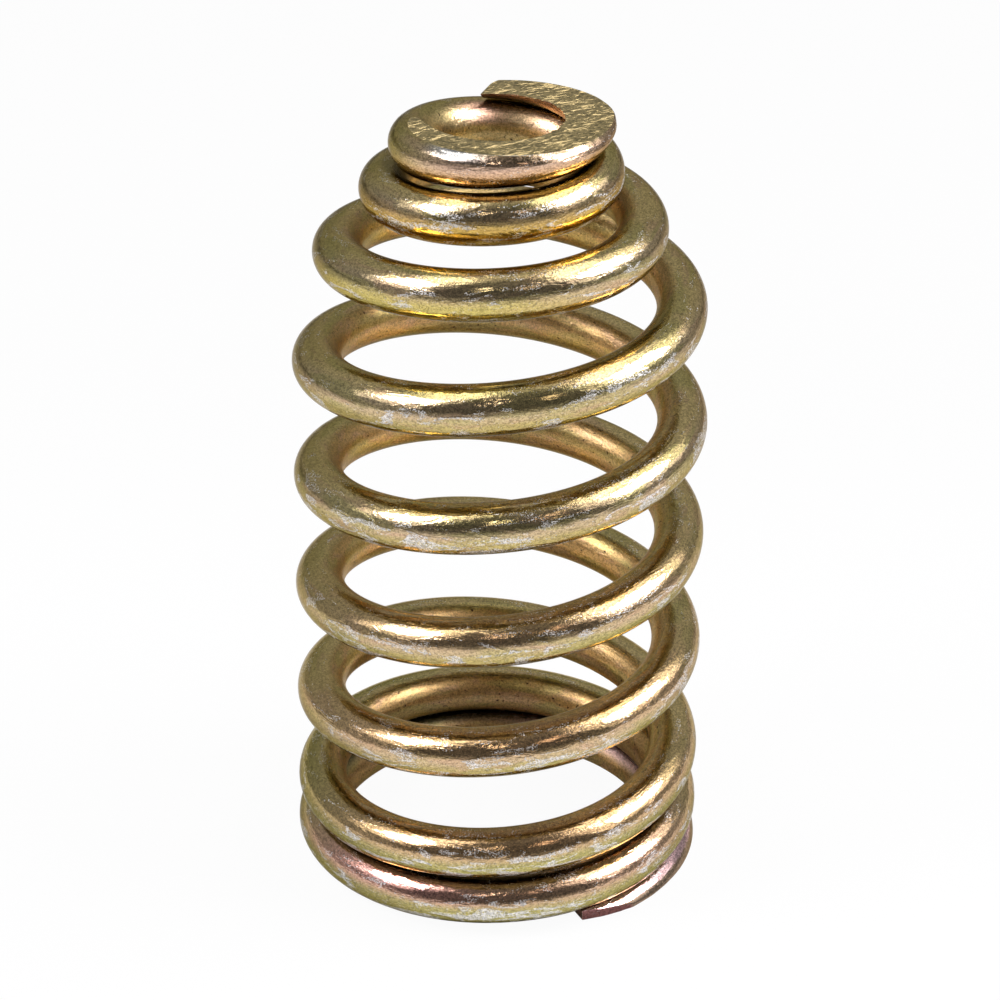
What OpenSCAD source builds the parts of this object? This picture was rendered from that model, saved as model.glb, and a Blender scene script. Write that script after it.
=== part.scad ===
// A compression spring of the beehive kind: one length of round wire, coiled
// right-handed, with a wide body that closes in to a narrow top coil. Both ends
// are wound close and ground flat. It stands on its wide end along +Z, with the
// origin on the coil axis in the plane of the lower ground face.

/* [Wire] */
// Diameter of the round wire
wire_d = 4; // [3:0.1:5]
// Gap between one closed coil and the next
closed_gap = 0.15; // [0.05:0.05:0.4]

/* [Coil diameters] */
// Outside diameter of the bottom coil
bottom_od = 33.9; // [30:0.1:40]
// Outside diameter of the last full coil of the body
shoulder_od = 33.1; // [29:0.1:40]
// Outside diameter of the top coil
top_od = 17.6; // [15:0.1:24]

/* [Length and turns] */
// Free length, from one ground face to the other
free_length = 64.4; // [58:0.1:80]
// Turns of wire, from tip to tip
total_turns = 9.45; // [9:0.05:10]
// Turns from the bottom tip to the middle of the stretch where the coils open
bottom_closed_turns = 1.95; // [1.5:0.05:2.5]
// Turns from the top tip down to the middle of the stretch where the coils close
top_closed_turns = 2.8; // [2.2:0.05:3.3]

/* [Shoulder] */
// Turns from the bottom tip to where the coils begin to close in
body_turns = 5.8; // [5:0.05:6.2]
// Turns below the top tip that keep the top coil's diameter
top_coil_turns = 0.75; // [0.5:0.05:1]
// Turns over which the coils begin, and later cease, to close in
shoulder_blend = 0.8; // [0.4:0.05:1]
// How much higher than level the shoulder's coils stand on their high side
shoulder_lean = 0.3; // [0:0.05:0.4]
// Direction of that high side, counted from +X
lean_angle = 174; // [0:1:359]

/* [Ground ends] */
// Height of wire that grinding leaves at each tip
tip_height = 0.8; // [0.5:0.1:1.5]
// Direction of the bottom tip seen from above, counted from +X
tip_angle = -63; // [-90:1:0]

/* [Smoothness] */
// Sides of the wire's cross-section
wire_sides = 16; // [8:4:16]
// Cross-sections in one turn
sections_per_turn = 36; // [16:4:36]

/* [Hidden] */
// Turns over which the pitch grows from closed to open
opening_blend = 0.5;
// Turns over which the pitch shrinks from open to closed
closing_blend = 1.2;
// Turns from the bottom tip to where the lean begins, and to where it ends
lean_start = 6.55;
lean_end = 8.3;
// Turns over which the lean comes and goes
lean_blend = 0.5;
// Turns from the bottom tip to where the coils begin, and to where they fully
// nest, each against the narrower one above it
nest_start = 7.75;
nest_full = 8.05;
// Least part of a step between a tip and the section beside it
tip_step = 0.2;
// Part of a turn between the two points that give the wire's direction
aim_step = 0.001;
// Width of material that a grinding wheel clears past the coils
wheel_margin = 5;

wire_r = wire_d / 2;
bottom_r = bottom_od / 2 - wire_r;
shoulder_r = shoulder_od / 2 - wire_r;
top_r = top_od / 2 - wire_r;

// The pitch is the height gained in one turn. What the closed coils leave of the
// free length is shared by the open ones.
closed_pitch = wire_d + closed_gap;
first_height = tip_height - wire_r;
last_height = free_length - first_height;
closing_turn = total_turns - top_closed_turns;
open_turns = closing_turn - bottom_closed_turns;
open_rise = last_height - first_height - closed_pitch * total_turns;
extra_pitch = open_rise / open_turns;

// Radius lost in one turn between the two ends of the shoulder
shoulder_end = total_turns - top_coil_turns;
shoulder_fall = (shoulder_r - top_r) / (shoulder_end - body_turns - shoulder_blend);

// Directions of the cross-sections: each tip, and every whole step between them
section_step = 360 / sections_per_turn;
last_angle = tip_angle + 360 * total_turns;
first_step = ceil(tip_angle / section_step + tip_step);
last_step = floor(last_angle / section_step - tip_step);
section_angles = concat(
    [tip_angle],
    [for (i = [first_step : last_step]) i * section_step],
    [last_angle]
);

// Running total of a slope that is 0 before a, grows evenly, and is 1 after b
function eased(x, a, b) =
    x <= a ? 0 :
    x < b ? (x - a) ^ 2 / (2 * (b - a)) :
    x - (a + b) / 2;

// The same, for a blend of the given width about its middle
function eased_about(x, middle, width) = eased(x, middle - width / 2, middle + width / 2);

// A step from 0 to 1 between a and b, level at both
function step_up(x, a, b) =
    let (part = min(max((x - a) / (b - a), 0), 1))
    part ^ 2 * (3 - 2 * part);

// Height by which a coil can rise into the one above it, as that one stands
// further in, until the two are the closed gap apart
function nesting(turns) =
    let (step_in = min(centre_radius(turns) - centre_radius(turns + 1), closed_pitch))
    closed_pitch - sqrt(closed_pitch ^ 2 - step_in ^ 2);

// Share of the lean after a number of turns
function lean_share(turns) =
    step_up(turns, lean_start, lean_start + lean_blend)
    - step_up(turns, lean_end - lean_blend, lean_end);

// Height of the wire's centre after a number of turns
function centre_height(turns) =
    first_height
    + closed_pitch * turns
    + extra_pitch * eased_about(turns, bottom_closed_turns, opening_blend)
    - extra_pitch * eased_about(turns, closing_turn, closing_blend)
    + nesting(turns) * step_up(turns, nest_start, nest_full)
    + shoulder_lean * cos(tip_angle + 360 * turns - lean_angle) * lean_share(turns);

// Distance of the wire's centre from the axis after a number of turns
function centre_radius(turns) =
    bottom_r
    + (shoulder_r - bottom_r) * min(turns / body_turns, 1)
    - shoulder_fall * eased(turns, body_turns, body_turns + shoulder_blend)
    + shoulder_fall * eased(turns, shoulder_end - shoulder_blend, shoulder_end);

// Centre of the wire after a number of turns
function centre(turns) =
    let (angle = tip_angle + 360 * turns, radius = centre_radius(turns))
    [radius * cos(angle), radius * sin(angle), centre_height(turns)];

function unit(v) = v / norm(v);

// Points of one cross-section, square to the wire and counted from its outer side
function section(angle) =
    let (
        turns = (angle - tip_angle) / 360,
        along = unit(centre(turns + aim_step) - centre(turns - aim_step)),
        radial = [cos(angle), sin(angle), 0],
        outward = unit(radial - (radial * along) * along),
        upward = cross(outward, along)
    )
    [for (side = [0 : wire_sides - 1])
        let (a = 360 * side / wire_sides)
        centre(turns) + wire_r * (cos(a) * outward + sin(a) * upward)];

// The round wire along its whole coil, with square-cut tips, before grinding
module coiled_wire() {
    sections = [for (angle = section_angles) section(angle)];
    count = len(sections);
    skin = [
        for (i = [0 : count - 2], j = [0 : wire_sides - 1])
        let (
            next = (j + 1) % wire_sides,
            here = i * wire_sides,
            ahead = here + wire_sides
        )
        each [
            [here + j, ahead + j, ahead + next],
            [here + j, ahead + next, here + next]
        ]
    ];
    first_cap = [for (j = [0 : wire_sides - 1]) j];
    last_cap = [for (j = [wire_sides - 1 : -1 : 0]) (count - 1) * wire_sides + j];
    polyhedron(
        points = [for (ring = sections) each ring],
        faces = concat([first_cap], skin, [last_cap]),
        convexity = 20
    );
}

// What a flat grinding wheel takes away above the height z = 0
module ground_off() {
    width = max(bottom_od, shoulder_od) + 2 * wheel_margin;
    translate([-width / 2, -width / 2, 0])
        cube([width, width, wheel_margin]);
}

module spring() {
    color([0.72, 0.58, 0.30])
        difference() {
            coiled_wire();
            translate([0, 0, -wheel_margin]) ground_off();
            translate([0, 0, free_length]) ground_off();
        }
}

spring();
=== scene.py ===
"""A compression spring with ground ends, zinc plated with a yellow chromate, on a pale floor in soft light.

The wire is wound again here, round and fine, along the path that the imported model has, and its two ends are
ground flat on the same two planes. Lengths are in metres, a place along the wire is in turns from its bottom
tip, and an angle round the wire starts at its outward side and runs over its top.
"""
import math

import bmesh
import bpy
import numpy as np
from mathutils import Matrix, Vector


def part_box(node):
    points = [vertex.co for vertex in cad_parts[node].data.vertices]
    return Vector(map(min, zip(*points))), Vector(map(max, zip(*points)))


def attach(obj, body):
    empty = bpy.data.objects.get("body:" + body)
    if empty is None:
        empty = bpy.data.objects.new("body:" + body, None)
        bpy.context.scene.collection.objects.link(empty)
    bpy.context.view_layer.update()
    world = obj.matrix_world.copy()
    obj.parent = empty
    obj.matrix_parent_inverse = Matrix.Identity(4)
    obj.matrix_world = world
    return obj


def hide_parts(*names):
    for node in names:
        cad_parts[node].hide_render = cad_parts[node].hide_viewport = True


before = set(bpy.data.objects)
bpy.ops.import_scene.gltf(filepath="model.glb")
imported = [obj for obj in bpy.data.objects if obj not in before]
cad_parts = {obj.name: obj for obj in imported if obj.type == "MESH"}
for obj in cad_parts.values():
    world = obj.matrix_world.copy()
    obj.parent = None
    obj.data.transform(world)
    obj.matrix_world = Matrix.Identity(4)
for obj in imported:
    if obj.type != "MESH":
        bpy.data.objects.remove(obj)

MM = 0.001
FULL_TURN = 2.0 * math.pi

# Sizes of the spring
FREE_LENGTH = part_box("spring")[1].z
WIRE_RADIUS = 4.0 * MM / 2.0
CLOSED_GAP = 0.15 * MM
BOTTOM_RADIUS = 33.9 * MM / 2.0 - WIRE_RADIUS
SHOULDER_RADIUS = 33.1 * MM / 2.0 - WIRE_RADIUS
TOP_RADIUS = 17.6 * MM / 2.0 - WIRE_RADIUS
TIP_HEIGHT = 0.8 * MM
TIP_ANGLE = math.radians(-63.0)

# Turns of wire
TOTAL_TURNS = 9.45
BOTTOM_CLOSED_TURNS = 1.95
TOP_CLOSED_TURNS = 2.8
BODY_TURNS = 5.8
TOP_COIL_TURNS = 0.75
SHOULDER_BLEND = 0.8
OPENING_BLEND = 0.5
CLOSING_BLEND = 1.2

# The lean of the shoulder's coils, and where each begins to nest against the one above it
SHOULDER_LEAN = 0.3 * MM
LEAN_ANGLE = math.radians(174.0)
LEAN_START = 6.55
LEAN_END = 8.3
LEAN_BLEND = 0.5
NEST_START = 7.75
NEST_FULL = 8.05

# What the sizes give
CLOSED_PITCH = 2.0 * WIRE_RADIUS + CLOSED_GAP
FIRST_HEIGHT = TIP_HEIGHT - WIRE_RADIUS
LAST_HEIGHT = FREE_LENGTH - FIRST_HEIGHT
CLOSING_TURN = TOTAL_TURNS - TOP_CLOSED_TURNS
OPEN_RISE = LAST_HEIGHT - FIRST_HEIGHT - CLOSED_PITCH * TOTAL_TURNS
EXTRA_PITCH = OPEN_RISE / (CLOSING_TURN - BOTTOM_CLOSED_TURNS)
SHOULDER_END = TOTAL_TURNS - TOP_COIL_TURNS
SHOULDER_FALL = (SHOULDER_RADIUS - TOP_RADIUS) / (SHOULDER_END - BODY_TURNS - SHOULDER_BLEND)

# How finely the wire is drawn
FLAT_POINTS = 11
CORNER_POINTS = 3
FLANK_POINTS = 13
BOTTOM_STRETCH = 0.9
TOP_STRETCH = 8.55
BOTTOM_RINGS = 300
BODY_RINGS = 1080
TOP_RINGS = 250

# The ground edges: a small break on each, a wide worn one round the outside of the top face, which narrows
# at its end, and a burr along the inside of its last part
LEAST_CUT = math.radians(2.0)
CROWDED_CUT = math.radians(60.0)
EVEN_TURNS = 0.2
EDGE_WIDTH = 0.045 * MM
EDGE_CURVE = 6
RIM_WIDTH = 0.50 * MM
RIM_FLATNESS = 0.6
RIM_CORNER = 1.6
RIM_END = 9.22
RIM_FALL = 0.1
RIM_LEAST = 0.3
BURR_WIDTH = 0.20 * MM
BURR_START = 9.02
BURR_GROWTH = 0.05

# Steps of the unevenness along the edges, in turns
WIDE_STEP = 0.03
BURR_STEP = 0.009
EDGE_STEP = 0.006
FINE_STEP = 0.004

# The two tips: the lower one is squared off outside and its edge pushed up, the upper one is cut at a slant
SQUARED_TURNS = 0.05
SQUARED_START = 0.85 * MM
SQUARED_END = 1.8 * MM
SQUARED_UNEVENNESS = 0.03 * MM
SQUARED_TOUCH = 0.005 * MM
PUSHED_UP = 0.30 * MM
PUSHED_START = 0.08 * MM
PUSHED_REACH = 0.8 * MM
PUSHED_TURNS = 0.12
SLANT = math.tan(math.radians(27.0))
SLANT_LENGTH = 2.4 * MM
CORNER_START = 0.7 * MM
CORNER_SLANT = 0.55

# How far each cut end is drawn out and in, how near to each other two points are joined, and the angle from
# which an edge is sharp
END_BREAK = 0.05 * MM
END_SHARE = 0.05
SAME_PLACE = 1e-5 * MM
SHARP_ANGLE = math.radians(28.0)

# The camera, as it stood for the photograph
IMAGE_SIZE = 1000
CAMERA_ELEVATION = math.radians(27.542)
CAMERA_ROLL = math.radians(0.477)
CAMERA_DISTANCE = 249.132 * MM
FOCAL_PIXELS = 3054.1
TARGET = Vector((0.0, 0.0, 30.0 * MM))
TARGET_PIXEL = (499.309, 515.48)
SENSOR = 36.0


def smooth(value):
    """A ramp from 0 to 1 with level ends: three times the square less twice the cube."""
    value = np.clip(value, 0.0, 1.0)
    return value * value * (3.0 - 2.0 * value)


def eased(turns, start, end):
    """A slope that grows from 0 to 1 between start and end: nothing, then a parabola, then a line."""
    inside = np.clip(turns - start, 0.0, end - start)
    return inside**2 / (2.0 * (end - start)) + np.maximum(turns - end, 0.0)


def eased_about(turns, middle, width):
    """The same slope, with its change centred on the middle."""
    return eased(turns, middle - width / 2.0, middle + width / 2.0)


def drift(places, step, seed):
    """Smooth seeded noise from -1 to 1 along a line: a random value at each step, joined by level ramps."""
    scaled = np.asarray(places) / step
    scaled = scaled - scaled.min()
    values = np.random.default_rng(seed).uniform(-1.0, 1.0, int(scaled.max()) + 3)
    whole = scaled.astype(int)
    share = smooth(scaled - whole)
    return values[whole] * (1.0 - share) + values[whole + 1] * share


def centre_radius(turns):
    """Distance of the wire's middle from the axis: a slight taper up the body, then a fall over the
    shoulder that comes and goes gently."""
    taper = (SHOULDER_RADIUS - BOTTOM_RADIUS) * np.minimum(turns / BODY_TURNS, 1.0)
    falling = eased(turns, BODY_TURNS, BODY_TURNS + SHOULDER_BLEND)
    level = eased(turns, SHOULDER_END - SHOULDER_BLEND, SHOULDER_END)
    return BOTTOM_RADIUS + taper - SHOULDER_FALL * (falling - level)


def nesting(turns):
    """Height by which a coil can rise into the one above it, as that one stands further in, until the two
    are the closed gap apart: the closed pitch less the upright side of its right-angled triangle."""
    step_in = np.minimum(centre_radius(turns) - centre_radius(turns + 1.0), CLOSED_PITCH)
    return CLOSED_PITCH - np.sqrt(CLOSED_PITCH**2 - step_in**2)


def centre_line(turns):
    """Middle of the wire: one angle turn for each turn, its radius, and a height that rises by the closed
    pitch, and faster between the closed ends, with the shoulder's lean and nesting on top."""
    angle = TIP_ANGLE + FULL_TURN * turns
    radius = centre_radius(turns)
    opening = eased_about(turns, BOTTOM_CLOSED_TURNS, OPENING_BLEND)
    closing = eased_about(turns, CLOSING_TURN, CLOSING_BLEND)
    leaning = smooth((turns - LEAN_START) / LEAN_BLEND) - smooth((turns - LEAN_END) / LEAN_BLEND + 1.0)
    nested = nesting(turns) * smooth((turns - NEST_START) / (NEST_FULL - NEST_START))
    height = FIRST_HEIGHT + CLOSED_PITCH * turns + EXTRA_PITCH * (opening - closing)
    height = height + nested + SHOULDER_LEAN * np.cos(angle - LEAN_ANGLE) * leaning
    return np.stack([radius * np.cos(angle), radius * np.sin(angle), height], axis=-1)


def unit(vectors):
    """Each vector over its own length."""
    return vectors / np.linalg.norm(vectors, axis=-1, keepdims=True)


def section_axes(turns):
    """The wire's direction, from two points close by, and square to it the outward and upward axes."""
    step = 0.0005
    along = unit(centre_line(turns + step) - centre_line(turns - step))
    angle = TIP_ANGLE + FULL_TURN * turns
    radial = np.stack([np.cos(angle), np.sin(angle), np.zeros_like(angle)], axis=-1)
    outward = unit(radial - np.sum(radial * along, axis=-1, keepdims=True) * along)
    return along, outward, np.cross(outward, along)


def ring_turns():
    """Places of the rings: closer together along the two ground stretches."""
    bottom = np.linspace(0.0, BOTTOM_STRETCH, BOTTOM_RINGS, endpoint=False)
    body = np.linspace(BOTTOM_STRETCH, TOP_STRETCH, BODY_RINGS, endpoint=False)
    top = np.linspace(TOP_STRETCH, TOTAL_TURNS, TOP_RINGS)
    return np.concatenate([bottom, body, top])


def cut_angle(distance):
    """Half the angle of the section that a plane at this distance from its middle cuts off."""
    return np.arccos(np.clip(distance / WIRE_RADIUS, -1.0, 1.0))


def flat_spread(cut, other_cut, turns_away):
    """Half the angle that the points of one flat take up, and the angle of each corner beside them: the cut
    itself where there is one, and an even share of the section at a fifth of a turn from it."""
    even_step = FULL_TURN / (2 * FLAT_POINTS + 2 * FLANK_POINTS + 4 * CORNER_POINTS)
    even_half = even_step * (FLAT_POINTS - 1) / 2.0
    even_corner = even_step * (CORNER_POINTS + 1)
    room = np.clip((math.pi - other_cut) / (math.pi - CROWDED_CUT), 0.0, 1.0)
    ease = smooth(turns_away / EVEN_TURNS)
    half = np.maximum(cut, LEAST_CUT + (even_half * room - LEAST_CUT) * ease)
    corner = EDGE_WIDTH / WIRE_RADIUS
    return half, corner + (even_corner * room - corner) * ease


def on_section(angle):
    """Points on the round section at this angle."""
    return WIRE_RADIUS * np.stack([np.cos(angle), np.sin(angle)], axis=-1)


def flat_points(half, cut, side, drawn):
    """Section points of one flat, outwards from its inner edge: on the chord where the plane cuts, with
    each edge drawn in by its own amount, and on the circle elsewhere."""
    share = np.linspace(-1.0, 1.0, FLAT_POINTS)[None, :]
    chord = WIRE_RADIUS * np.sin(cut)
    across = share * (chord - np.where(share < 0.0, drawn[0], drawn[1]) * np.abs(share) ** EDGE_CURVE)
    on_chord = np.stack([across, np.broadcast_to(side * WIRE_RADIUS * np.cos(cut), across.shape)], axis=-1)
    on_circle = on_section(side * (math.pi / 2.0 - share * half))
    return np.where(is_ground(cut)[..., None], on_chord, on_circle)


def corner_points(half, corner, cut, side, way, drawn, flatness=0.0):
    """Section points between one flat and one flank, outwards from the flat: on a curve that leaves the
    flat's edge towards the sharp corner and ends on the flank, with a share of the straight line between
    the two ends, or on the circle away from the cuts."""
    share = (np.arange(CORNER_POINTS)[None, :] + 1.0) / (CORNER_POINTS + 1.0)
    mirrored = np.array([way, side])
    sharp = mirrored * on_section(math.pi / 2.0 - cut)
    flat_edge = sharp - np.stack([way * drawn, np.zeros_like(drawn)], axis=-1)
    flank_edge = mirrored * on_section(math.pi / 2.0 - half - corner)
    part = share[..., None]
    curve = (1.0 - part) ** 2 * flat_edge + 2.0 * part * (1.0 - part) * sharp + part**2 * flank_edge
    line = (1.0 - part) * flat_edge + part * flank_edge
    curve = (1.0 - flatness) * curve + flatness * line
    circle = mirrored * on_section(math.pi / 2.0 - half - corner * share)
    return np.where(is_ground(cut)[..., None], curve, circle)


def is_ground(cut):
    """Whether the grinding plane cuts enough off this section to leave a flat."""
    return cut > LEAST_CUT


def flank_points(start, end):
    """Section points of one flank: even angles along the circle between two corners."""
    share = np.linspace(0.0, 1.0, FLANK_POINTS)[None, :]
    return on_section(start + (end - start) * share)


def wire_sections(turns, centres, upward):
    """Section points of every ring, in order round the wire from the inner edge of the bottom flat: each
    flat, then a corner, a flank and a corner. Returns them with the two flats' cut angles."""
    bottom_cut = cut_angle((centres[:, 2] / upward[:, 2])[:, None])
    top_cut = cut_angle(((FREE_LENGTH - centres[:, 2]) / upward[:, 2])[:, None])
    places = turns[:, None]
    bottom_end = places[bottom_cut > 0.0].max()
    top_start = places[(top_cut > 0.0) & (places > TOP_STRETCH)].min()
    low_half, low_corner = flat_spread(bottom_cut, top_cut, places - bottom_end)
    high_half, high_corner = flat_spread(top_cut, bottom_cut, top_start - places)

    room = np.minimum(1.0, WIRE_RADIUS * np.sin(top_cut) / (4.0 * RIM_WIDTH))
    chipped = EDGE_WIDTH * (1.0 + 0.5 * drift(places, EDGE_STEP, seed=2))
    rim_share = RIM_LEAST + (1.0 - RIM_LEAST) * smooth((RIM_END - places) / RIM_FALL)
    unevenness = 0.9 + 0.10 * drift(places, WIDE_STEP, seed=1) + 0.05 * drift(places, EDGE_STEP, seed=5)
    worn = RIM_WIDTH * rim_share * unevenness * room
    worn = np.where(is_ground(top_cut), worn, 0.0)
    rim_corner = np.maximum(high_corner, RIM_CORNER * worn / WIRE_RADIUS)
    burr = BURR_WIDTH * smooth((places - BURR_START) / BURR_GROWTH)
    teeth = 0.55 * drift(places, BURR_STEP, seed=3) + 0.45 * drift(places, FINE_STEP, seed=4)
    ragged = burr * (teeth + 0.25)
    inner_edge = (chipped - ragged) * room

    quarter = math.pi / 2.0
    low_edge = chipped * np.minimum(1.0, WIRE_RADIUS * np.sin(bottom_cut) / (4.0 * EDGE_WIDTH))
    parts = [
        flat_points(low_half, bottom_cut, -1.0, (low_edge, low_edge)),
        corner_points(low_half, low_corner, bottom_cut, -1.0, 1.0, low_edge),
        flank_points(low_half + low_corner - quarter, quarter - high_half - rim_corner),
        corner_points(high_half, rim_corner, top_cut, 1.0, 1.0, worn, RIM_FLATNESS)[:, ::-1],
        flat_points(high_half, top_cut, 1.0, (inner_edge, worn))[:, ::-1],
        corner_points(high_half, high_corner, top_cut, 1.0, -1.0, inner_edge),
        flank_points(quarter + high_half + high_corner, 3.0 * quarter - low_half - low_corner),
        corner_points(low_half, low_corner, bottom_cut, -1.0, -1.0, low_edge)[:, ::-1],
    ]
    return squared_off(np.concatenate(parts, axis=1), places), bottom_cut, top_cut


def squared_reach(places):
    """How far out the lower tip reaches: short of its edge at the tip, and all of it a little way along."""
    reach = SQUARED_START + (SQUARED_END - SQUARED_START) * places / SQUARED_TURNS
    uneven = reach + SQUARED_UNEVENNESS * drift(places, FINE_STEP, seed=6)
    return np.where(places < SQUARED_TURNS, uneven, 2.0 * WIRE_RADIUS)


def squared_off(sections, places):
    """Sections with the outer edge of the lower tip pushed up and then stood upright."""
    upper = smooth((sections[..., 0] - PUSHED_START) / PUSHED_REACH) * (sections[..., 1] > 0.0)
    sections[..., 1] += PUSHED_UP * upper * smooth(1.0 - places / PUSHED_TURNS)
    sections[..., 0] = np.minimum(sections[..., 0], squared_reach(places))
    return sections


def slanted(sections, length):
    """How far each point near the upper tip moves along the wire: forwards inside and back outside, more
    so at the outer corner, and by nothing at a short way from the tip."""
    ease = smooth(1.0 - (length[-1] - length)[:, None] / SLANT_LENGTH)
    outer = np.maximum(sections[..., 0] - CORNER_START, 0.0)
    return (-SLANT * sections[..., 0] - CORNER_SLANT * outer**2 / MM) * ease


def edge_distances(sections, bottom_cut, top_cut):
    """How far each point lies from the nearest ground edge, straight across the section."""
    far = 10.0 * MM
    distances = np.full(sections.shape[:2], far)
    for cut, side in ((bottom_cut, -1.0), (top_cut, 1.0)):
        corner = WIRE_RADIUS * np.sin(cut)
        for way in (-1.0, 1.0):
            across = sections[..., 0] - way * corner
            along = sections[..., 1] - side * WIRE_RADIUS * np.cos(cut)
            reach = np.where(is_ground(cut), np.hypot(across, along), far)
            distances = np.minimum(distances, reach)
    return distances


def drawn_in(ring, share):
    """A ring drawn in towards its own middle, for the small break round a cut end."""
    middle = ring.mean(axis=0)
    return middle + (ring - middle) * (1.0 - share)


def ring_faces(rings, points):
    """Four-sided faces between each ring and the next, facing outwards, with one face over each end."""
    ring = np.arange(rings - 1)[:, None]
    point = np.arange(points)[None, :]
    after = (point + 1) % points
    here = ring * points
    there = (ring + 1) * points
    sides = [here + point, there + point, there + after, here + after]
    quads = np.stack(np.broadcast_arrays(*sides), axis=-1).reshape(-1, 4)
    first = list(range(points))
    last = [(rings - 1) * points + point for point in reversed(range(points))]
    return quads.tolist() + [first, last]


def write_attribute(mesh, name, values):
    """Puts one value or one vector for each point of the rings into the mesh."""
    kind, field = ("FLOAT", "value") if values.ndim == 2 else ("FLOAT_VECTOR", "vector")
    made = mesh.attributes.new(name, kind, "POINT")
    made.data.foreach_set(field, np.ascontiguousarray(values, dtype=np.float32).ravel())


def capped(values, mode):
    """The rings' values with those of one more ring at each end: its neighbour's (edge) or 0 (constant)."""
    return np.pad(values, [(1, 1)] + [(0, 0)] * (values.ndim - 1), mode=mode)


def face_materials(on_flat):
    """The material of each face: 1 where all four corners are on a flat, and 0 elsewhere."""
    both = on_flat & np.roll(on_flat, -1, axis=1)
    return np.append(both[:-1] & both[1:], [0, 0]).astype(np.int32)


def join_meeting_points(mesh):
    """Joins the points of the squared end that meet, as they leave faces without area."""
    cleaned = bmesh.new()
    cleaned.from_mesh(mesh)
    bmesh.ops.dissolve_degenerate(cleaned, dist=SAME_PLACE, edges=cleaned.edges)
    cleaned.to_mesh(mesh)
    cleaned.free()


def wind_spring():
    """The wire: round sections square to the centre line, cut by the two grinding planes, as one mesh."""
    turns = ring_turns()
    centres = centre_line(turns)
    along, outward, upward = section_axes(turns)
    sections, bottom_cut, top_cut = wire_sections(turns, centres, upward)
    length = np.concatenate([[0.0], np.cumsum(np.linalg.norm(np.diff(centres, axis=0), axis=1))])
    points = (
        centres[:, None, :]
        + sections[..., :1] * outward[:, None, :]
        + sections[..., 1:] * upward[:, None, :]
        + slanted(sections, length)[..., None] * along[:, None, :]
    )
    shape = sections.shape[:2]
    order = np.arange(shape[1])[None, :]
    on_bottom = (order < FLAT_POINTS) & is_ground(bottom_cut)
    top_first = FLAT_POINTS + FLANK_POINTS + 2 * CORNER_POINTS
    on_top = (order >= top_first) & (order < top_first + FLAT_POINTS) & is_ground(top_cut)
    points[..., 2] = np.clip(points[..., 2], 0.0, FREE_LENGTH)
    points[on_bottom, 2] = 0.0
    points[on_top, 2] = FREE_LENGTH
    start_cap = drawn_in(points[0], END_SHARE) - along[0] * END_BREAK
    end_cap = drawn_in(points[-1], END_SHARE) + along[-1] * END_BREAK
    points = np.concatenate([start_cap[None], points, end_cap[None]])

    upright = sections[..., 0] > squared_reach(turns[:, None]) - SQUARED_TOUCH
    along_wire = np.broadcast_to(length[:, None, None], shape + (1,))
    attributes = {
        "straightened": capped(np.concatenate([sections, along_wire], axis=-1), "edge"),
        "turn": capped(np.broadcast_to(turns[:, None], shape), "edge"),
        "edge_distance": capped(edge_distances(sections, bottom_cut, top_cut), "constant"),
        "squared": capped(upright, "constant"),
    }
    mesh = bpy.data.meshes.new("ground_coil")
    mesh.from_pydata(points.reshape(-1, 3), [], ring_faces(*points.shape[:2]))
    for name, values in attributes.items():
        write_attribute(mesh, name, values)
    mesh.polygons.foreach_set("material_index", face_materials(capped(on_bottom | on_top, "constant")))
    join_meeting_points(mesh)
    mesh.shade_smooth()
    mesh.set_sharp_from_angle(angle=SHARP_ANGLE)
    mesh.validate()
    coil = bpy.data.objects.new("ground_coil", mesh)
    bpy.context.scene.collection.objects.link(coil)
    return coil


def place_camera():
    """The camera at the photograph's viewing angle, moved sideways so that the target falls on its pixel."""
    back = Vector((0.0, -math.cos(CAMERA_ELEVATION), math.sin(CAMERA_ELEVATION)))
    level_up = Vector((0.0, math.sin(CAMERA_ELEVATION), math.cos(CAMERA_ELEVATION)))
    level_right = Vector((1.0, 0.0, 0.0))
    right = math.cos(CAMERA_ROLL) * level_right + math.sin(CAMERA_ROLL) * level_up
    up = math.cos(CAMERA_ROLL) * level_up - math.sin(CAMERA_ROLL) * level_right
    middle = IMAGE_SIZE / 2.0
    across = (TARGET_PIXEL[0] - middle) / FOCAL_PIXELS * CAMERA_DISTANCE
    down = (TARGET_PIXEL[1] - middle) / FOCAL_PIXELS * CAMERA_DISTANCE
    place = TARGET + back * CAMERA_DISTANCE - right * across + up * down
    data = bpy.data.cameras.new("camera")
    data.sensor_width = SENSOR
    data.lens = FOCAL_PIXELS / IMAGE_SIZE * SENSOR
    data.clip_start = 10.0 * MM
    data.clip_end = 20.0
    camera = bpy.data.objects.new("camera", data)
    turned = Matrix((right, up, back)).transposed()
    camera.matrix_world = Matrix.Translation(place) @ turned.to_4x4()
    bpy.context.scene.collection.objects.link(camera)
    bpy.context.scene.camera = camera


def towards(azimuth, elevation):
    """Direction from the spring: azimuth 0 is the camera's side, and it grows towards the right."""
    level = math.cos(math.radians(elevation))
    turn = math.radians(azimuth)
    return Vector((math.sin(turn) * level, -math.cos(turn) * level, math.sin(math.radians(elevation))))


def soft_light(name, azimuth, elevation, width, height, brightness, colour, distance=1.0):
    """A flat panel that faces the spring. Its width and height are angles as seen from there, and its
    brightness is that of its face, where 1 is a white page."""
    data = bpy.data.lights.new(name, "AREA")
    data.shape = "RECTANGLE"
    data.size = 2.0 * distance * math.tan(math.radians(width) / 2.0)
    data.size_y = 2.0 * distance * math.tan(math.radians(height) / 2.0)
    data.energy = brightness * math.pi * data.size * data.size_y
    data.color = colour
    light = bpy.data.objects.new(name, data)
    direction = towards(azimuth, elevation)
    light.location = TARGET + direction * distance
    light.rotation_euler = (-direction).to_track_quat("-Z", "Y").to_euler()
    light.visible_camera = False
    bpy.context.scene.collection.objects.link(light)


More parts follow.
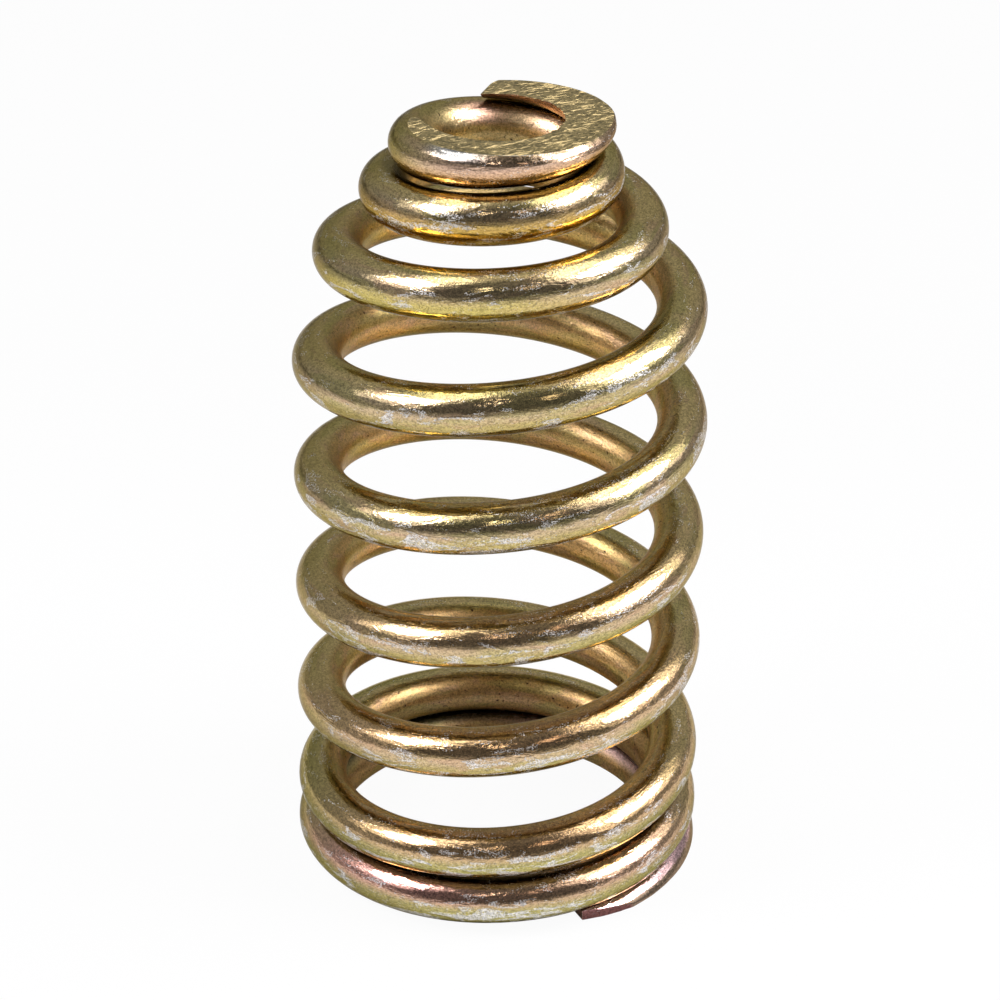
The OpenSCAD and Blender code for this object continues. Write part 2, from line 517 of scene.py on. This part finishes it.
WHITE_LIGHT = (1.0, 0.99, 0.98)
ROSY_LIGHT = (0.97, 0.94, 1.0)
WARM_LIGHT = (1.0, 0.93, 0.84)
PINK_LIGHT = (1.0, 0.82, 0.72)

# The boxes' bright middles hang just in front of them, at distances in metres
LIGHT_DISTANCE = 1.0
MIDDLE_DISTANCE = 0.99

# Each light's azimuth, elevation, width and height in degrees, its brightness, its colour and its distance
LIGHTS = {
    "left_box": (-75.0, 42.0, 40.0, 40.0, 1.0, WHITE_LIGHT, LIGHT_DISTANCE),
    "left_middle": (-72.0, 45.0, 19.0, 20.0, 19.0, ROSY_LIGHT, MIDDLE_DISTANCE),
    "right_box": (87.0, 42.0, 60.0, 46.0, 1.2, WHITE_LIGHT, LIGHT_DISTANCE),
    "right_middle": (86.0, 42.0, 31.0, 21.0, 17.0, ROSY_LIGHT, MIDDLE_DISTANCE),
    "left_overhead": (-96.0, 71.0, 32.0, 18.0, 1.9, WHITE_LIGHT, LIGHT_DISTANCE),
    "right_overhead": (102.0, 69.0, 38.0, 14.0, 2.0, WHITE_LIGHT, LIGHT_DISTANCE),
    "left_slit": (-12.0, 50.0, 4.0, 6.0, 8.0, WARM_LIGHT, LIGHT_DISTANCE),
    "right_slit": (24.0, 45.0, 6.0, 9.0, 2.0, PINK_LIGHT, LIGHT_DISTANCE),
}


def light_studio():
    """A soft box at each side of the camera, brighter in its middle, a weaker light above each, and two
    narrow ones in front that leave thin glints."""
    for name, settings in LIGHTS.items():
        soft_light(name, *settings)


def put(tree, kind, inputs=None, **settings):
    """Adds a node, with its settings, and gives its inputs values or the outputs that feed them."""
    made = tree.nodes.new(kind)
    for name, value in settings.items():
        setattr(made, name, value)
    for name, value in (inputs or {}).items():
        socket = made.inputs[name]
        if isinstance(value, bpy.types.NodeSocket):
            tree.links.new(value, socket)
        else:
            socket.default_value = value
    return made


def calculate(tree, operation, *values):
    """One Math node's result."""
    return put(tree, "ShaderNodeMath", dict(enumerate(values)), operation=operation).outputs[0]


def product(tree, *values):
    """All the values multiplied together."""
    result = values[0]
    for value in values[1:]:
        result = calculate(tree, "MULTIPLY", result, value)
    return result


def total(tree, *values):
    """All the values added up."""
    result = values[0]
    for value in values[1:]:
        result = calculate(tree, "ADD", result, value)
    return result


def rest_of(tree, *shares):
    """What the shares, multiplied together, leave of one."""
    return calculate(tree, "SUBTRACT", 1.0, product(tree, *shares))


def vector_result(tree, operation, first, second, output=0):
    """One Vector Math node's result."""
    return put(tree, "ShaderNodeVectorMath", {0: first, 1: second}, operation=operation).outputs[output]


def ramp(tree, value, low, high, start=0.0, end=1.0):
    """A smooth step of the value between low and high."""
    made = put(tree, "ShaderNodeMapRange", {"Value": value, "From Min": low, "From Max": high,
                                            "To Min": start, "To Max": end}, interpolation_type="SMOOTHSTEP")
    return made.outputs["Result"]


def blend_colours(tree, share, first, second):
    """The first colour, with this share of the second over it."""
    made = put(tree, "ShaderNodeMix", data_type="RGBA")
    for name, value in (("Factor_Float", share), ("A_Color", first), ("B_Color", second)):
        socket = next(s for s in made.inputs if s.identifier == name)
        if isinstance(value, bpy.types.NodeSocket):
            tree.links.new(value, socket)
        else:
            socket.default_value = (*value, 1.0) if name != "Factor_Float" else value
    return next(s for s in made.outputs if s.identifier == "Result_Color")


def tinted(tree, colour, hue, *shares):
    """The colour with the hue over it, by all the shares multiplied together."""
    return blend_colours(tree, product(tree, *shares), colour, hue)


def scaled_colour(tree, colour, shade):
    """The colour, lighter or darker by this factor."""
    return put(tree, "ShaderNodeVectorMath", {0: colour, "Scale": shade}, operation="SCALE").outputs[0]


def stretched(tree, vector, size, length):
    """Coordinates in which a pattern's features are size across the wire and length along it."""
    return vector_result(tree, "MULTIPLY", vector, (1.0 / size, 1.0 / size, 1.0 / length))


def cloud(tree, vector, detail=2.0, roughness=0.5, distortion=0.0):
    """Noise with features about one unit wide."""
    made = put(tree, "ShaderNodeTexNoise", {"Vector": vector, "Scale": 1.0, "Detail": detail,
                                            "Roughness": roughness, "Distortion": distortion})
    return made.outputs["Fac"]


def facing(tree, vector, angle, outer, inner):
    """1 on the side of the wire at this angle, falling to 0 between the inner and outer half angles."""
    turn = math.radians(angle)
    towards_side = (math.cos(turn) / WIRE_RADIUS, math.sin(turn) / WIRE_RADIUS, 0.0)
    nearness = vector_result(tree, "DOT_PRODUCT", vector, towards_side, "Value")
    return ramp(tree, nearness, math.cos(math.radians(outer)), math.cos(math.radians(inner)))


def stretch_of_wire(tree, turn, first, last, blend=0.08):
    """1 from the first turn to the last, with soft ends."""
    begun = ramp(tree, turn, first - blend, first + blend)
    not_ended = ramp(tree, turn, last + blend, last - blend)
    return product(tree, begun, not_ended)


def attribute(tree, name, output="Fac"):
    """One of the mesh's attributes."""
    return put(tree, "ShaderNodeAttribute", attribute_name=name).outputs[output]


def from_group(tree, group, output, **inputs):
    """One output of a node group, placed in this tree with these inputs."""
    return put(tree, "ShaderNodeGroup", inputs, node_tree=group).outputs[output]


def start_group(name, inputs, outputs):
    """An empty node group with these sockets, and its first and last node."""
    tree = bpy.data.node_groups.new(name, "ShaderNodeTree")
    for way, sockets in (("INPUT", inputs), ("OUTPUT", outputs)):
        for title, kind in sockets.items():
            tree.interface.new_socket(title, in_out=way, socket_type=kind)
    return tree, put(tree, "NodeGroupInput"), put(tree, "NodeGroupOutput")


# The grain's two sizes, across the wire and along it, with their heights and the fine one's share
FINE_GRAIN = (0.085 * MM, 0.10 * MM)
COARSE_GRAIN = (0.20 * MM, 0.26 * MM)
FINE_HEIGHT = 0.010 * MM
COARSE_HEIGHT = 0.016 * MM
FINE_SHARE = 0.6
DARKEST_GRAIN = 0.56
BRIGHTEST_GRAIN = 1.25

# The specks' size, the noise above which they show at density 0, and how far that falls at density 1
SPECK_SIZE = (0.075 * MM, 0.11 * MM)
SPECK_LEVEL = 0.80
SPECK_FALL = 0.46


def plating_grain():
    """The plating's fine grain: a factor for the colour near 1, and a height in metres."""
    tree, given, made = start_group("plating_grain", {"Place": "NodeSocketVector"},
                                    {"Shade": "NodeSocketFloat", "Height": "NodeSocketFloat"})
    fine = cloud(tree, stretched(tree, given.outputs["Place"], *FINE_GRAIN), 1.0, 0.6)
    coarse = cloud(tree, stretched(tree, given.outputs["Place"], *COARSE_GRAIN), 1.0, 0.5)
    mixed = total(tree, product(tree, fine, FINE_SHARE), product(tree, coarse, 1.0 - FINE_SHARE))
    tree.links.new(ramp(tree, mixed, 0.34, 0.64, DARKEST_GRAIN, BRIGHTEST_GRAIN), made.inputs["Shade"])
    height = total(tree, product(tree, fine, FINE_HEIGHT), product(tree, coarse, COARSE_HEIGHT))
    tree.links.new(height, made.inputs["Height"])
    return tree


def silver_specks():
    """Ragged specks where the chromate is rubbed off: none at density 0, nearly all of it at 1."""
    sockets = {"Place": "NodeSocketVector", "Density": "NodeSocketFloat"}
    tree, given, made = start_group("silver_specks", sockets, {"Mask": "NodeSocketFloat"})
    ragged = cloud(tree, stretched(tree, given.outputs["Place"], *SPECK_SIZE), 2.0, 0.7, 0.5)
    fall = product(tree, given.outputs["Density"], SPECK_FALL)
    over = calculate(tree, "SUBTRACT", ragged, calculate(tree, "SUBTRACT", SPECK_LEVEL, fall))
    tree.links.new(ramp(tree, over, -0.02, 0.03), made.inputs["Mask"])
    return tree


OLIVE = (0.52, 0.41, 0.18)
FLANK = (0.52, 0.42, 0.16)
BRONZE = (0.62, 0.47, 0.30)
GOLD = (0.84, 0.64, 0.29)
TAN = (0.57, 0.37, 0.16)
PINKISH = (0.60, 0.38, 0.25)
GREENISH = (0.45, 0.42, 0.14)
AMBER = (0.60, 0.38, 0.08)
RED_BRONZE = (0.64, 0.41, 0.22)
PINK = (0.76, 0.40, 0.34)
PALE_PINK = (0.80, 0.53, 0.53)
PEACH = (0.66, 0.41, 0.28)
EDGE_BROWN = (0.30, 0.22, 0.13)
# Painted shade for the underside of the wire
UNDERSIDE_SHADE = (0.17, 0.15, 0.08)
# Painted shade for the creases between coils
CREASE_SHADE = (0.15, 0.14, 0.08)
LEMON = (0.62, 0.51, 0.15)
# Painted shade for the left side of each coil, in a darker olive
LEFT_SHADE_OLIVE = (0.36, 0.33, 0.11)
ORANGE = (0.70, 0.40, 0.15)
ROSE_TAN = (0.70, 0.47, 0.34)
MAROON = (0.40, 0.22, 0.17)
TIP_MAROON = (0.24, 0.11, 0.10)
BORE_GOLD = (0.61, 0.49, 0.23)
BARE_ZINC = (0.80, 0.80, 0.80)
PIT = (0.07, 0.045, 0.03)
GROUND_OLIVE = (0.62, 0.47, 0.19)
GROUND_DARK = (0.30, 0.23, 0.08)
GROUND_GOLD = (0.94, 0.77, 0.41)
EDGE_TINT = (0.66, 0.60, 0.46, 1.0)

# Sides of the wire: the angle round it, and the outer and inner half angle of the soft edge
FLANK_SIDE = (-32.0, 75.0, 30.0)
RUBBED_SIDE = (-14.0, 56.0, 5.0)
INNER_SIDE = (180.0, 90.0, 45.0)
LEFT_SHADE_SIDE = (20.0, 85.0, 45.0)
SHADED_SIDE = (-93.0, 52.0, 32.0)

# The chromate's hue by the side of the wire, each over the one before: the side, the hue and its share
HUES_BY_SIDE = [
    ((26.0, 45.0, 15.0), BRONZE, 0.80),
    ((82.0, 50.0, 15.0), GOLD, 0.75),
    ((180.0, 85.0, 45.0), TAN, 0.85),
]

# Stretches with a hue of their own, some of them painted shade (on the left sides of the lowest coils and in
# # the creases between coils): first and last turn, angle round the wire, half angle, hue and share
HUES_BY_STRETCH = [
    (0.35, 2.30, -35.0, 65.0, GREENISH, 0.75),
    (1.74, 2.12, 55.0, 60.0, RED_BRONZE, 0.9),
    (2.74, 3.12, 58.0, 60.0, RED_BRONZE, 0.8),
    (3.74, 4.12, 60.0, 60.0, RED_BRONZE, 0.6),
    (6.45, 6.98, -33.0, 55.0, LEMON, 0.75),
    (6.98, 7.12, -38.0, 45.0, PINKISH, 0.6),
    (7.12, 7.40, -33.0, 55.0, LEMON, 0.6),
    (7.45, 8.35, -35.0, 65.0, AMBER, 0.85),
    (8.55, 8.82, -10.0, 70.0, LEMON, 0.5),
    (8.80, 9.40, 0.0, 60.0, ROSE_TAN, 0.85),
    (8.72, 9.40, -48.0, 52.0, ORANGE, 0.7),
    # Painted shade on the left side of the lowest coils
    (1.50, 1.78, 25.0, 85.0, LEFT_SHADE_OLIVE, 0.6),
    (0.50, 0.72, 25.0, 85.0, LEFT_SHADE_OLIVE, 0.6),
    (0.75, 0.93, 58.0, 58.0, PINK, 1.0),
    (0.93, 1.02, 55.0, 60.0, PINKISH, 0.8),
    # Painted shade in the crease between the two lowest coils, on the lower one's top and the upper one's
    # underside
    (-0.1, 1.15, 102.0, 48.0, CREASE_SHADE, 0.85),
    (0.90, 2.10, -96.0, 55.0, CREASE_SHADE, 0.85),
    (-0.1, 0.42, 75.0, 80.0, PALE_PINK, 1.0),
    (0.98, 1.13, 55.0, 60.0, PEACH, 0.9),
    (7.60, 9.00, 180.0, 85.0, BORE_GOLD, 0.9),
    # Painted shade in the crease under the top coil, on the coil below it
    (7.62, 8.15, 114.0, 42.0, CREASE_SHADE, 0.8),
    (8.44, 8.52, 135.0, 40.0, PINK, 0.9),
    (8.28, 8.38, 140.0, 50.0, PINK, 0.5),
    (9.00, 9.60, 200.0, 80.0, MAROON, 0.75),
]
INNER_EDGE_SHARE = 0.3

# Sizes of the clouds, across the wire and along it
DRIFT_SIZE = (0.9 * MM, 3.2 * MM)
SLOW_DRIFT_SIZE = (1.6 * MM, 7.0 * MM)
PATCH_SIZE = (0.8 * MM, 2.6 * MM)
BREAK_SIZE = (0.3 * MM, 0.34 * MM)
PIT_SIZE = (0.34 * MM, 0.42 * MM)

# Parts of the worn rim: first and last turn, and how soft its ends are. The bare part is worn zinc that is
# # also laid where the rim's chamfer mirrors the left light, as a painted highlight; the mottled part is
# darker
BARE_RIM_AND_HIGHLIGHT = (8.82, 8.89, 0.03)
MOTTLED_RIM = (8.92, 8.98, 0.03)
SPECKLED_RIM = (8.97, 9.15, 0.04)


def chromate_colour(tree, place, turn, drifting):
    """The chromate before its wear: its hue goes by the side of the wire, drifts along it in clouds, and has
    a few stretches of its own, where the plating took up more or less of the colour. It also carries painted
    shade: a darker olive on the left side of each coil, dark in the creases between coils, and dark
    underneath."""
    slow_drift = cloud(tree, stretched(tree, place, *SLOW_DRIFT_SIZE), 2.0, 0.55, 0.4)
    colour = blend_colours(tree, facing(tree, place, *FLANK_SIDE), OLIVE, FLANK)
    for side, hue, share in HUES_BY_SIDE:
        colour = tinted(tree, colour, hue, facing(tree, place, *side), share)
    colour = tinted(tree, colour, PINKISH, ramp(tree, drifting, 0.50, 0.66), 0.45)
    colour = tinted(tree, colour, GREENISH, ramp(tree, slow_drift, 0.48, 0.60), 0.45)
    # Painted shade: a darker olive on the left side of each coil
    on_left = stretch_of_wire(tree, calculate(tree, "FRACT", turn), 0.50, 0.74)
    colour = tinted(tree, colour, LEFT_SHADE_OLIVE, on_left, facing(tree, place, *LEFT_SHADE_SIDE), 0.5)
    for first, last, angle, reach, hue, share in HUES_BY_STRETCH:
        side = facing(tree, place, angle, reach, reach * INNER_EDGE_SHARE)
        colour = tinted(tree, colour, hue, side, stretch_of_wire(tree, turn, first, last), share)
    # Painted shade: dark on the underside of the wire
    return tinted(tree, colour, UNDERSIDE_SHADE, facing(tree, place, *SHADED_SIDE), 0.85)


def rubbed_density(tree, turn, rubbed, patches, inside):
    """How densely silver specks lie: along the outside of the coils and in patches, a little more on the
    lowest coils, and less inside the coils and on the top one."""
    along_outside = product(tree, rubbed, 0.26)
    in_patches = product(tree, ramp(tree, patches, 0.49, 0.64), 0.47)
    on_lowest = product(tree, rubbed, stretch_of_wire(tree, turn, 0.45, 2.2), 0.07)
    density = total(tree, along_outside, in_patches, on_lowest)
    on_top_coil = ramp(tree, turn, 8.55, 8.75)
    return product(tree, density, rest_of(tree, inside, 0.9), rest_of(tree, on_top_coil, 0.45))


def new_metal(name):
    """A metal material, with its node tree and its surface."""
    material = bpy.data.materials.new(name)
    material.use_nodes = True
    surface = material.node_tree.nodes["Principled BSDF"]
    surface.inputs["Metallic"].default_value = 1.0
    return material, material.node_tree, surface


def cover(tree, surface, colour, roughness, height):
    """Gives a surface its colour and roughness, and its height in metres as a bump."""
    bump = put(tree, "ShaderNodeBump", {"Height": height, "Distance": 1.0, "Strength": 1.0})
    tree.links.new(colour, surface.inputs["Base Color"])
    tree.links.new(roughness, surface.inputs["Roughness"])
    tree.links.new(bump.outputs["Normal"], surface.inputs["Normal"])


def plated_wire(grain, specks):
    """The wire: glossy chromate with fine grain, silver specks along the outside of the coils, a rim worn
    bare round the top face, whose bare left part is also a painted highlight, darker mottling on the rim's
    middle, a bright burr inside it, painted shade along the outer edge of the lower tip, a maroon break at
    the lower tip, and a few dark pits, most of them inside the coils."""
    material, tree, surface = new_metal("plated_wire")
    place = attribute(tree, "straightened", "Vector")
    turn = attribute(tree, "turn")
    from_edge = attribute(tree, "edge_distance")
    squared = attribute(tree, "squared")
    section = put(tree, "ShaderNodeSeparateXYZ", {"Vector": place})
    outward = section.outputs["X"]
    drifting = cloud(tree, stretched(tree, place, *DRIFT_SIZE), 3.0, 0.6, 0.6)
    patches = cloud(tree, stretched(tree, place, *PATCH_SIZE), 2.0, 0.6, 0.8)
    broken = cloud(tree, stretched(tree, place, *BREAK_SIZE), 1.0, 0.6)
    inside = facing(tree, place, *INNER_SIDE)
    rubbed = facing(tree, place, *RUBBED_SIDE)
    upper = ramp(tree, section.outputs["Y"], 0.2 * MM, 0.6 * MM)
    outer = ramp(tree, outward, -0.1 * MM, 0.1 * MM)
    near_rim = product(tree, ramp(tree, from_edge, 0.85 * MM, 0.25 * MM), upper, outer)
    # Painted shade: a dark brown band along the lower tip's outer edge, standing in for the wire's dark lower
    # flank
    ragged_edge = total(tree, from_edge, product(tree, broken, 0.5 * MM))
    near_edge = ramp(tree, ragged_edge, 1.05 * MM, 0.85 * MM)
    near_tip = ramp(tree, turn, 0.42, 0.30)
    tip_edge_shade = product(tree, near_edge, ramp(tree, outward, 0.6 * MM, 0.9 * MM), near_tip)

    density = rubbed_density(tree, turn, rubbed, patches, inside)
    density = total(tree, density, product(tree, near_rim, stretch_of_wire(tree, turn, *SPECKLED_RIM), 0.32))
    density = product(tree, density, rest_of(tree, tip_edge_shade, 0.8))
    scuffs = from_group(tree, specks, "Mask", Place=place, Density=density)
    along_burr = ramp(tree, turn, BURR_START - 0.1, BURR_START + 0.05)
    beside_edge = ramp(tree, from_edge, 0.34 * MM, 0.16 * MM)
    teeth = ramp(tree, broken, 0.48, 0.54)
    burr = product(tree, beside_edge, upper, rest_of(tree, outer), along_burr, teeth)
    spots = cloud(tree, stretched(tree, place, *PIT_SIZE), 1.0, 0.5, 0.3)
    pits = product(tree, ramp(tree, spots, 0.71, 0.74), total(tree, 0.2, product(tree, inside, 0.8)))
    # Darker brown mottling on the middle of the worn rim
    dark_mottling = product(tree, stretch_of_wire(tree, turn, *MOTTLED_RIM), ramp(tree, broken, 0.40, 0.48))

    colour = chromate_colour(tree, place, turn, drifting)
    # Painted shade along the outer edge of the lower tip
    colour = tinted(tree, colour, EDGE_BROWN, tip_edge_shade, 0.85)
    # Bare zinc on the rim's left part: worn metal, and a painted highlight where the chamfer mirrors the left
    # light
    colour = tinted(tree, colour, BARE_ZINC, near_rim, stretch_of_wire(tree, turn, *BARE_RIM_AND_HIGHLIGHT), 0.85)
    colour = tinted(tree, colour, EDGE_BROWN, near_rim, dark_mottling, 0.95)
    colour = tinted(tree, colour, TIP_MAROON, squared)
    colour = tinted(tree, colour, BARE_ZINC, scuffs, 0.9)
    colour = tinted(tree, colour, GROUND_GOLD, burr)
    colour = tinted(tree, colour, PIT, pits)
    texture = put(tree, "ShaderNodeGroup", {"Place": place}, node_tree=grain)
    colour = scaled_colour(tree, colour, texture.outputs["Shade"])

    polish = ramp(tree, drifting, 0.3, 0.7, 0.10, 0.15)
    rougher = [product(tree, inside, 0.22), product(tree, scuffs, 0.34), product(tree, squared, 0.15)]
    coarseness = total(tree, ramp(tree, patches, 0.42, 0.60, 0.35, 1.1), product(tree, inside, 0.3))
    height = product(tree, texture.outputs["Height"], coarseness)
    cover(tree, surface, colour, total(tree, polish, *rougher), height)
    surface.inputs["Specular Tint"].default_value = EDGE_TINT
    return material


# The grinding wheel's marks: their direction in degrees, and their length and width
WHEEL_MARKS = [
    (-30.0, 1.5 * MM, 0.22 * MM),
    (-20.0, 1.0 * MM, 0.17 * MM),
    (-36.0, 0.6 * MM, 0.15 * MM),
]
GROUND_CLOUD_SIZE = (2.2 * MM, 2.2 * MM)
HOLLOW_SIZE = (0.45 * MM, 0.45 * MM)
MARK_HEIGHT = 0.05 * MM
GLINT_HEIGHT = 0.16 * MM


def wheel_marks(tree, place):
    """Noise in short straight strokes: the highest of the three kinds of mark at each point."""
    marks = None
    for degrees, length, width in WHEEL_MARKS:
        turning = (0.0, 0.0, math.radians(degrees))
        turned = put(tree, "ShaderNodeMapping", {"Vector": place, "Rotation": turning}).outputs[0]
        strokes = vector_result(tree, "MULTIPLY", turned, (1.0 / length, 1.0 / width, 1.0 / MM))
        kind = cloud(tree, strokes, 1.0, 0.6)
        marks = kind if marks is None else calculate(tree, "MAXIMUM", marks, kind)
    return marks


def ground_face(grain, specks):
    """The ground flats: olive chromate with darker hollows, over the short straight marks of a coarse wheel,
    whose walls glint gold, and silver specks along the front of the worn rim."""
    material, tree, surface = new_metal("ground_face")
    place = put(tree, "ShaderNodeTexCoord").outputs["Object"]
    turn = attribute(tree, "turn")
    section = put(tree, "ShaderNodeSeparateXYZ", {"Vector": attribute(tree, "straightened", "Vector")})
    outer = ramp(tree, section.outputs["X"], 0.0, 0.2 * MM)
    beside_rim = ramp(tree, attribute(tree, "edge_distance"), 0.75 * MM, 0.30 * MM)
    near_rim = product(tree, beside_rim, outer, stretch_of_wire(tree, turn, 8.84, 9.12))

    clouds = cloud(tree, stretched(tree, place, *GROUND_CLOUD_SIZE), 2.0, 0.6, 0.4)
    dull = cloud(tree, stretched(tree, place, *HOLLOW_SIZE), 2.0, 0.6, 0.4)
    marks = wheel_marks(tree, place)
    reach = total(tree, marks, product(tree, calculate(tree, "SUBTRACT", clouds, 0.5), 0.30))
    glints = ramp(tree, reach, 0.655, 0.695)
    hollows = product(tree, ramp(tree, dull, 0.42, 0.58), ramp(tree, reach, 0.64, 0.56))
    texture = put(tree, "ShaderNodeGroup", {"Place": place}, node_tree=grain)
    scuffs = from_group(tree, specks, "Mask", Place=place, Density=product(tree, near_rim, 0.8))

    colour = tinted(tree, GROUND_OLIVE, GROUND_DARK, hollows, 0.95)
    colour = scaled_colour(tree, colour, texture.outputs["Shade"])
    colour = tinted(tree, colour, GROUND_GOLD, glints, 0.9)
    colour = tinted(tree, colour, BARE_ZINC, scuffs, 0.8)
    bumps = total(tree, product(tree, marks, MARK_HEIGHT), product(tree, glints, GLINT_HEIGHT))
    height = total(tree, bumps, texture.outputs["Height"])
    cover(tree, surface, colour, total(tree, 0.36, product(tree, glints, 0.34)), height)
    return material


FLOOR_REACH = 4.0
FLOOR_DROP = 0.02 * MM
FLOOR_NEAR = (0.58, 0.58, 0.58)
FLOOR_FAR = (0.36, 0.36, 0.36)
DARKER_BEHIND = 0.68
GLOW_SHARE = 0.95


def pale_floor():
    """A wide pale floor, just under the spring, that darkens away from the spring and behind it, where the
    coils mirror it. Straight to the camera it is mostly a white glow, so that it stays white right across
    while the spring's shadow still shows."""
    signs = [(-1.0, -1.0), (1.0, -1.0), (1.0, 1.0), (-1.0, 1.0)]
    corners = [(FLOOR_REACH * across, FLOOR_REACH * away, -FLOOR_DROP) for across, away in signs]
    mesh = bpy.data.meshes.new("floor")
    mesh.from_pydata(corners, [], [(0, 1, 2, 3)])
    floor = bpy.data.objects.new("floor", mesh)
    bpy.context.scene.collection.objects.link(floor)
    material = bpy.data.materials.new("pale_floor")
    material.use_nodes = True
    tree = material.node_tree
    surface = tree.nodes["Principled BSDF"]
    place = put(tree, "ShaderNodeTexCoord").outputs["Object"]
    away = put(tree, "ShaderNodeVectorMath", {0: place}, operation="LENGTH").outputs["Value"]
    pale = blend_colours(tree, ramp(tree, away, 0.10, 0.45), FLOOR_NEAR, FLOOR_FAR)
    behind = put(tree, "ShaderNodeSeparateXYZ", {"Vector": place}).outputs["Y"]
    pale = scaled_colour(tree, pale, ramp(tree, behind, 0.0, 0.10, 1.0, DARKER_BEHIND))
    tree.links.new(pale, surface.inputs["Base Color"])
    surface.inputs["Roughness"].default_value = 0.9
    surface.inputs["Specular IOR Level"].default_value = 0.0
    glow = put(tree, "ShaderNodeEmission", {"Color": (1.0, 1.0, 1.0, 1.0), "Strength": 1.0})
    seen = put(tree, "ShaderNodeLightPath").outputs["Is Camera Ray"]
    share = product(tree, seen, GLOW_SHARE)
    mixed = put(tree, "ShaderNodeMixShader", {0: share, 1: surface.outputs[0], 2: glow.outputs[0]})
    tree.links.new(mixed.outputs[0], tree.nodes["Material Output"].inputs["Surface"])
    mesh.materials.append(material)


WALLS = (0.32, 0.33, 0.34)
CAMERA_SIDE = (0.12, 0.12, 0.12)
CEILING = (0.50, 0.50, 0.50)
TABLE_EDGE = (0.36, 0.36, 0.36)


def climbing(tree, height, low, high):
    """A ramp from 0 at one elevation to 1 at another, in degrees above the horizon."""
    return ramp(tree, height, math.sin(math.radians(low)), math.sin(math.radians(high)))


def studio_surroundings():
    """The room that the metal reflects: a dark side behind the camera, grey walls, a paler ceiling, and the
    far edge of the table as a slightly paler band all round."""
    world = bpy.data.worlds.new("studio")
    bpy.context.scene.world = world
    world.use_nodes = True
    tree = world.node_tree
    background = tree.nodes["Background"]
    direction = put(tree, "ShaderNodeTexCoord").outputs["Generated"]
    height = put(tree, "ShaderNodeSeparateXYZ", {"Vector": direction}).outputs["Z"]
    level = vector_result(tree, "MULTIPLY", direction, (1.0, 1.0, 0.0))
    level = put(tree, "ShaderNodeVectorMath", {0: level}, operation="NORMALIZE").outputs[0]
    front = vector_result(tree, "DOT_PRODUCT", level, (0.0, -1.0, 0.0), "Value")
    camera_side = ramp(tree, front, math.cos(math.radians(70.0)), math.cos(math.radians(45.0)))
    walls = blend_colours(tree, camera_side, WALLS, CAMERA_SIDE)
    top = product(tree, climbing(tree, height, 55.0, 75.0), rest_of(tree, camera_side, 0.8))
    colour = blend_colours(tree, top, walls, CEILING)
    colour = blend_colours(tree, climbing(tree, height, 12.0, 3.0), colour, TABLE_EDGE)
    tree.links.new(colour, background.inputs["Color"])
    background.inputs["Strength"].default_value = 1.0


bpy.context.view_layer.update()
bpy.context.scene.view_settings.view_transform = "Standard"
place_camera()
light_studio()
studio_surroundings()
pale_floor()

spring = wind_spring()
grain = plating_grain()
specks = silver_specks()
spring.data.materials.append(plated_wire(grain, specks))
spring.data.materials.append(ground_face(grain, specks))
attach(spring, "root")
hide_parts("spring")
